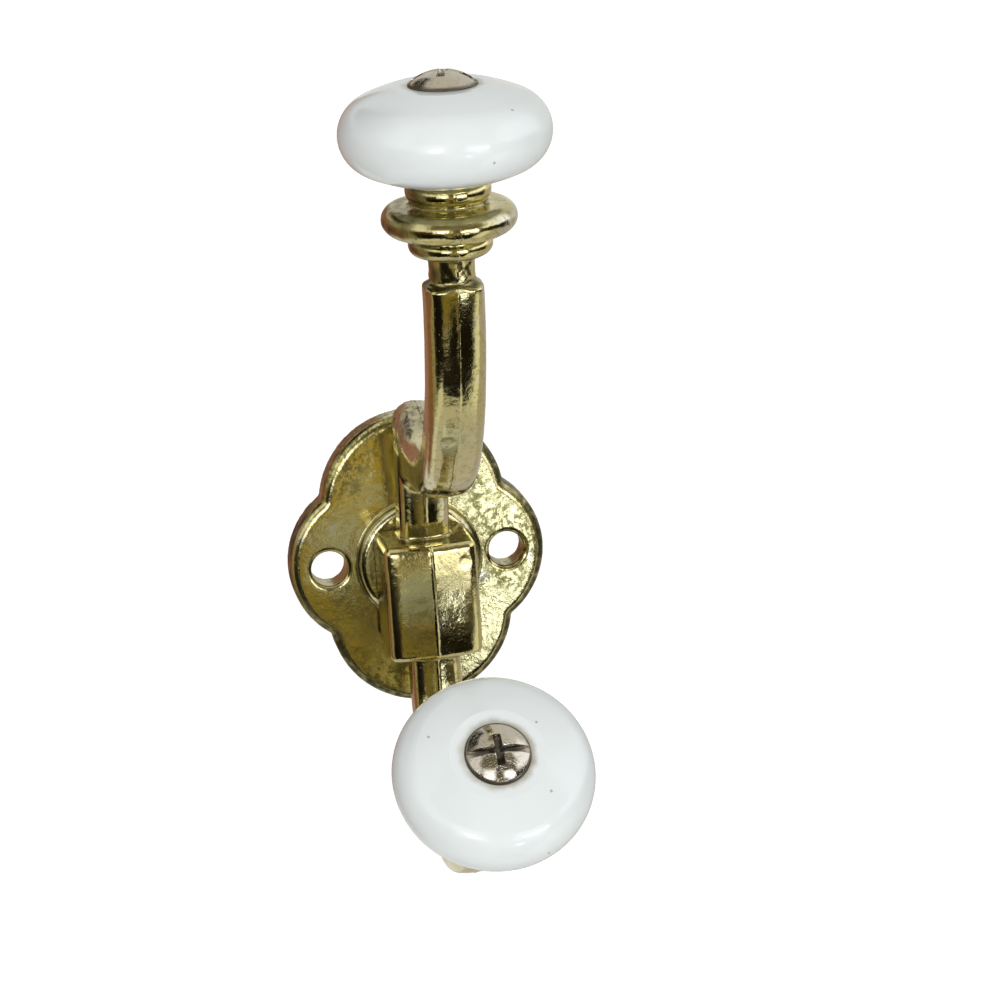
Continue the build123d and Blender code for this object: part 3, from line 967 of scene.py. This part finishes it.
@dataclass
class KnobSet:
    """One porcelain knob and the screw through it."""

    axis: KnobAxis
    slot_turn: float
    spots: tuple[Point, ...]
    sharp: float = 25.0

    def build_screw(self, node: Piece) -> Piece:
        """Copies the screw with its slot turned to where the driver left it.

        Args:
            node: The CAD node of the screw.

        Returns:
            The finished piece.
        """
        shape = bmesh.new()
        shape.from_mesh(node.data)
        bmesh.ops.remove_doubles(shape, verts=shape.verts[:], dist=WELD)
        turn = Matrix.Rotation(math.radians(self.slot_turn), 3, self.axis.way)
        bmesh.ops.rotate(shape, verts=shape.verts[:], cent=self.axis.start, matrix=turn)
        piece = mesh_object(f"{node.name}_turned", shape)
        piece.data.set_sharp_from_angle(angle=math.radians(self.sharp))
        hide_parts(node.name)
        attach(piece, "root")
        return piece

    def dress(self, nodes: dict[str, Piece], groups: NodeGroups) -> list[Piece]:
        """Gives the knob and its screw their finishes.

        Args:
            nodes: The CAD nodes by name.
            groups: The shared node groups.

        Returns:
            The knob's node and the screw's piece.
        """
        name = self.axis.place.value
        knob = nodes[f"{name}_knob"]
        screw = self.build_screw(nodes[f"{name}_knob_screw"])
        glaze = PorcelainFinish(f"{name}_porcelain", self.spots).make(groups, self.axis)
        nickel = NickelFinish(f"{name}_screw_nickel").make(groups, self.axis)
        for node, material in ((knob, glaze), (screw, nickel)):
            node.data.materials.clear()
            node.data.materials.append(material)
        return [knob, screw]


@dataclass
class Lamp:
    """One soft lamp of the studio."""

    name: str
    place: Point
    aim: Point
    width: float
    height: float
    power: float

    def build(self) -> Piece:
        """Adds the lamp to the scene."""
        light = bpy.data.lights.new(self.name, "AREA")
        light.shape = "RECTANGLE"
        light.size = self.width
        light.size_y = self.height
        light.energy = self.power
        lamp = bpy.data.objects.new(self.name, light)
        lamp.location = self.place
        way = Vector(self.aim) - Vector(self.place)
        lamp.rotation_mode = "QUATERNION"
        lamp.rotation_quaternion = way.to_track_quat("-Z", "Y")
        bpy.context.scene.collection.objects.link(lamp)
        return lamp


@dataclass(frozen=True)
class Patch:
    """A light or dark field of the surround, by its directions from the object, in degrees.

    Azimuths run from the front, -Y, towards +X. Elevations run up from the horizontal. The field
    fades over the angles in soft, across and upwards.
    """

    azimuths: Ends
    elevations: Ends
    glow: Colour
    soft: Ends

    def mask(self, tree: Tree, turn: Socket, rise: Socket) -> Socket:
        """Builds the field's mask from the sockets of a direction's azimuth and elevation."""
        share: Any = 1.0
        for value, ends, soft in zip((turn, rise), (self.azimuths, self.elevations), self.soft):
            low, high = (math.radians(e) for e in ends)
            blur = math.radians(soft)
            share = tree.times(share, tree.step(value, low - blur, low + blur))
            share = tree.times(share, tree.step(value, high + blur, high - blur))
        return share


BLACK: Colour = (0.01, 0.008, 0.005)
GLARE: Colour = (9.0, 9.0, 9.4)


@dataclass
class Surround:
    """A light tent of pale and dark fields round the object, which only reflections show."""

    middle: Point
    radius: float = 0.85
    open_glow: Colour = (0.86, 0.85, 0.80)
    patches: tuple[Patch, ...] = (
        # Below and above.
        Patch((-190, 190), (-100, -59), (0.66, 0.63, 0.58), (6, 4)),
        Patch((-190, 190), (62, 100), (0.80, 0.77, 0.68), (8, 6)),
        # Left.
        Patch((-186, -125), (-25, 24), (0.36, 0.19, 0.13), (6, 6)),
        Patch((-128, -75), (6, 58), (0.50, 0.46, 0.38), (8, 8)),
        Patch((-78, -42), (10, 62), (1.15, 1.15, 1.15), (6, 8)),
        Patch((-165, -98), (32, 62), (0.02, 0.016, 0.01), (6, 5)),
        Patch((-106, -78), (-44, 10), (0.36, 0.31, 0.19), (5, 6)),
        Patch((-142, -103), (-44, 8), (0.29, 0.145, 0.09), (5, 6)),
        Patch((-78, -12), (-46, 6), (0.05, 0.038, 0.015), (4, 5)),
        # Right.
        Patch((60, 178), (-58, 0), (0.56, 0.52, 0.47), (8, 6)),
        Patch((42, 66), (-56, -20), (1, 1, 0.95), (3, 3)),
        Patch((45, 110), (6, 42), (1.6, 1.6, 1.7), (8, 6)),
        Patch((36, 100), (-16, 6), (0.03, 0.025, 0.012), (5, 4)),
        # Front, dark and warm.
        Patch((-46, 52), (20, 60), (0.20, 0.17, 0.10), (8, 5)),
        Patch((-14, 42), (-28, 22), (0.10, 0.08, 0.035), (4, 5)),
        Patch((-13, 9.5), (-37, -10), (0.24, 0.18, 0.025), (3, 4)),
        Patch((0, 9), (-18, -8), (0.48, 0.34, 0.015), (1.5, 2.5)),
        Patch((-16, -4), (-10, 0), (0.46, 0.41, 0.25), (2.5, 4)),
        Patch((-66, -17), (-45, -13), BLACK, (5, 4)),
        Patch((-22, 6), (-57, -38), BLACK, (4, 3)),
        Patch((-2, 35), (-58, -24.5), BLACK, (2.5, 2.5)),
        # Front, bright.
        Patch((10.8, 18.8), (-22, -14), (3.3, 3.6, 4.7), (0.8, 1.5)),
        Patch((19.5, 36), (-13, 4), (2.2, 2.2, 2.4), (1.2, 6)),
        Patch((-34, -8), (-6, 16), (1.9, 1.9, 1.95), (3, 3)),
        Patch((10, 33), (-6, 11), (2.2, 2.2, 2.3), (3, 3)),
        Patch((-24, -15), (-2, 7), GLARE, (2, 2)),
        Patch((17, 36), (-1, 3), GLARE, (2, 1.5)),
    )

    def build(self) -> Piece:
        """Makes the tent and paints its fields, later ones over earlier ones."""
        shape = bmesh.new()
        bmesh.ops.create_icosphere(shape, subdivisions=4, radius=self.radius)
        bmesh.ops.translate(shape, verts=shape.verts[:], vec=self.middle)
        tent = mesh_object("studio_surround", shape)
        material, tree, shader = new_material("studio_surround")
        ends = {0: tree.where(), 1: self.middle}
        offset = tree.add("ShaderNodeVectorMath", ends, operation="SUBTRACT").outputs[0]
        way = tree.add("ShaderNodeVectorMath", {0: offset}, operation="NORMALIZE").outputs[0]
        parts = tree.add("ShaderNodeSeparateXYZ", {0: way}).outputs
        turn = tree.math("ARCTAN2", parts[0], tree.times(parts[1], -1.0))
        rise = tree.math("ARCSINE", parts[2])
        colour: Any = self.open_glow
        for patch in self.patches:
            colour = tree.mix(patch.mask(tree, turn, rise), colour, patch.glow)
        tree.feed(shader, {
            "Base Color": (0.0, 0.0, 0.0, 1.0), "Specular IOR Level": 0.0,
            "Emission Color": colour, "Emission Strength": 1.0})
        tent.data.materials.append(material)
        tent.visible_camera = False
        tent.visible_diffuse = False
        tent.visible_shadow = False
        tent.visible_transmission = False
        return tent


@dataclass(frozen=True)
class View:
    """The camera at the photograph's viewing angle."""

    right: Point = (0.97917022, -0.19318010, -0.06250924)
    down: Point = (-0.11090835, -0.25100161, -0.96161194)
    ahead: Point = (0.17007438, 0.94851459, -0.26719859)
    place_mm: Point = (-50.3185, -352.7693, 105.5046)
    lens: float = 93.6
    sensor: float = 36.0
    clip: Ends = (0.01, 20.0)

    def build(self) -> Piece:
        """Adds the camera to the scene."""
        lens = bpy.data.cameras.new("camera")
        lens.lens = self.lens
        lens.sensor_width = self.sensor
        lens.clip_start, lens.clip_end = self.clip
        camera = bpy.data.objects.new("camera", lens)
        axes = (Vector(self.right), -Vector(self.down), -Vector(self.ahead))
        camera.matrix_world = Matrix(axes).transposed().to_4x4()
        camera.location = Vector(self.place_mm) * MM
        bpy.context.scene.collection.objects.link(camera)
        bpy.context.scene.camera = camera
        return camera


@dataclass
class Studio:
    """Pale floor and backdrop, soft lamps, the surround that metal reflects, and the camera."""

    floor_z: float = -0.95
    floor_half: float = 10.0
    back_y: float = 1.1
    back_height: float = 2.2
    bend: float = 0.5
    paper: Colour = (0.84, 0.84, 0.825)
    paper_glow: Colour = (1.0, 1.0, 0.985)
    paper_lift: float = 0.52
    air_soft: float = 0.50
    air_seen: float = 1.0
    middle: Point = (0.0, -0.03, 0.015)

    def build_floor(self) -> Piece:
        """Makes the floor and the backdrop as one bent sheet."""
        shape = bmesh.new()
        bmesh.ops.create_grid(shape, x_segments=1, y_segments=1, size=self.floor_half)
        rear = [e for e in shape.edges if all(v.co.y > 0.0 for v in e.verts)]
        back = (0.0, self.back_y - self.floor_half, self.floor_z)
        bmesh.ops.translate(shape, verts=shape.verts[:], vec=back)
        raised = bmesh.ops.extrude_edge_only(shape, edges=rear)["geom"]
        tops = [v for v in raised if isinstance(v, bmesh.types.BMVert)]
        bmesh.ops.translate(shape, verts=tops, vec=(0.0, 0.0, self.back_height))
        bmesh.ops.bevel(
            shape, geom=rear, offset=self.bend, affect="EDGES", segments=16,
            profile=0.5, material=-1)
        bmesh.ops.recalc_face_normals(shape, faces=shape.faces[:])
        floor = mesh_object("studio_floor", shape)
        material, tree, shader = new_material("studio_paper")
        tree.feed(shader, {
            "Base Color": (*self.paper, 1.0), "Roughness": 0.9,
            "Emission Color": (*self.paper_glow, 1.0),
            "Emission Strength": tree.times(tree.seen(), self.paper_lift)})
        floor.data.materials.append(material)
        return floor

    def build_world(self) -> None:
        """Sets an even white surround."""
        world = bpy.data.worlds.new("studio_air")
        world.use_nodes = True
        world.node_tree.nodes.clear()
        tree = Tree(world.node_tree)
        white = (1.0, 1.0, 1.0, 1.0)
        soft, seen = (
            tree.add("ShaderNodeBackground", {"Color": white, "Strength": strength}).outputs[0]
            for strength in (self.air_soft, self.air_seen))
        both = tree.add("ShaderNodeMixShader", {0: tree.seen(), 1: soft, 2: seen})
        tree.add("ShaderNodeOutputWorld", {"Surface": both.outputs[0]})
        bpy.context.scene.world = world

    def build(self) -> None:
        """Builds the whole studio."""
        self.build_floor()
        self.build_world()
        Surround(self.middle).build()
        lamps = (
            Lamp("key_lamp", (0.35, -0.70, 0.85), self.middle, width=0.22, height=0.22, power=1.4),
            Lamp("window_lamp", (-0.04, -0.98, 0.08), self.middle, width=0.50, height=1.00, power=5.7),
        )
        for lamp in lamps:
            lamp.build()
        View().build()
        bpy.context.scene.view_settings.view_transform = "Standard"


def main() -> None:
    """Builds and dresses every piece, and sets the studio round it."""
    logging.basicConfig(level=logging.INFO, format="%(message)s")
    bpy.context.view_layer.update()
    nodes = frame["nodes"]
    groups = NodeGroups.make()
    axes = (
        KnobAxis(Place.UPPER, out=49.6 * MM, up=47.8 * MM, angle=84.0),
        KnobAxis(Place.LOWER, out=42.4 * MM, up=-26.1 * MM, angle=45.0),
    )
    hook_brass = BrassFinish("hook_brass")
    plate_brass = BrassFinish("plate_brass", clouds=0.52, speckle=0.54, polish=0.10, dull_floor=0.15)
    castings = (
        (HookCasting(axes), Cast.HOOK, hook_brass),
        (BackPlate(), Cast.PLATE, plate_brass),
    )
    pieces = []
    for casting, cast, finish in castings:
        piece = casting.build(nodes[cast.value])
        casting.dress(piece, finish.make(groups))
        pieces.append(piece)
    upper_spots = ((6.48, -60.35, 68.92), (3.45, -63.34, 63.50))
    lower_spots = ((5.54, -56.58, -6.70), (-7.91, -55.94, -7.09), (5.68, -62.79, -13.47))
    for axis, turn, spots in zip(axes, (-41.0, -6.0), (upper_spots, lower_spots)):
        pieces += KnobSet(axis, turn, spots).dress(nodes, groups)
    for piece in pieces:
        LOG.info("%s: %d faces", piece.name, len(piece.data.polygons))
    Studio().build()


if __name__ == "__main__":
    main()
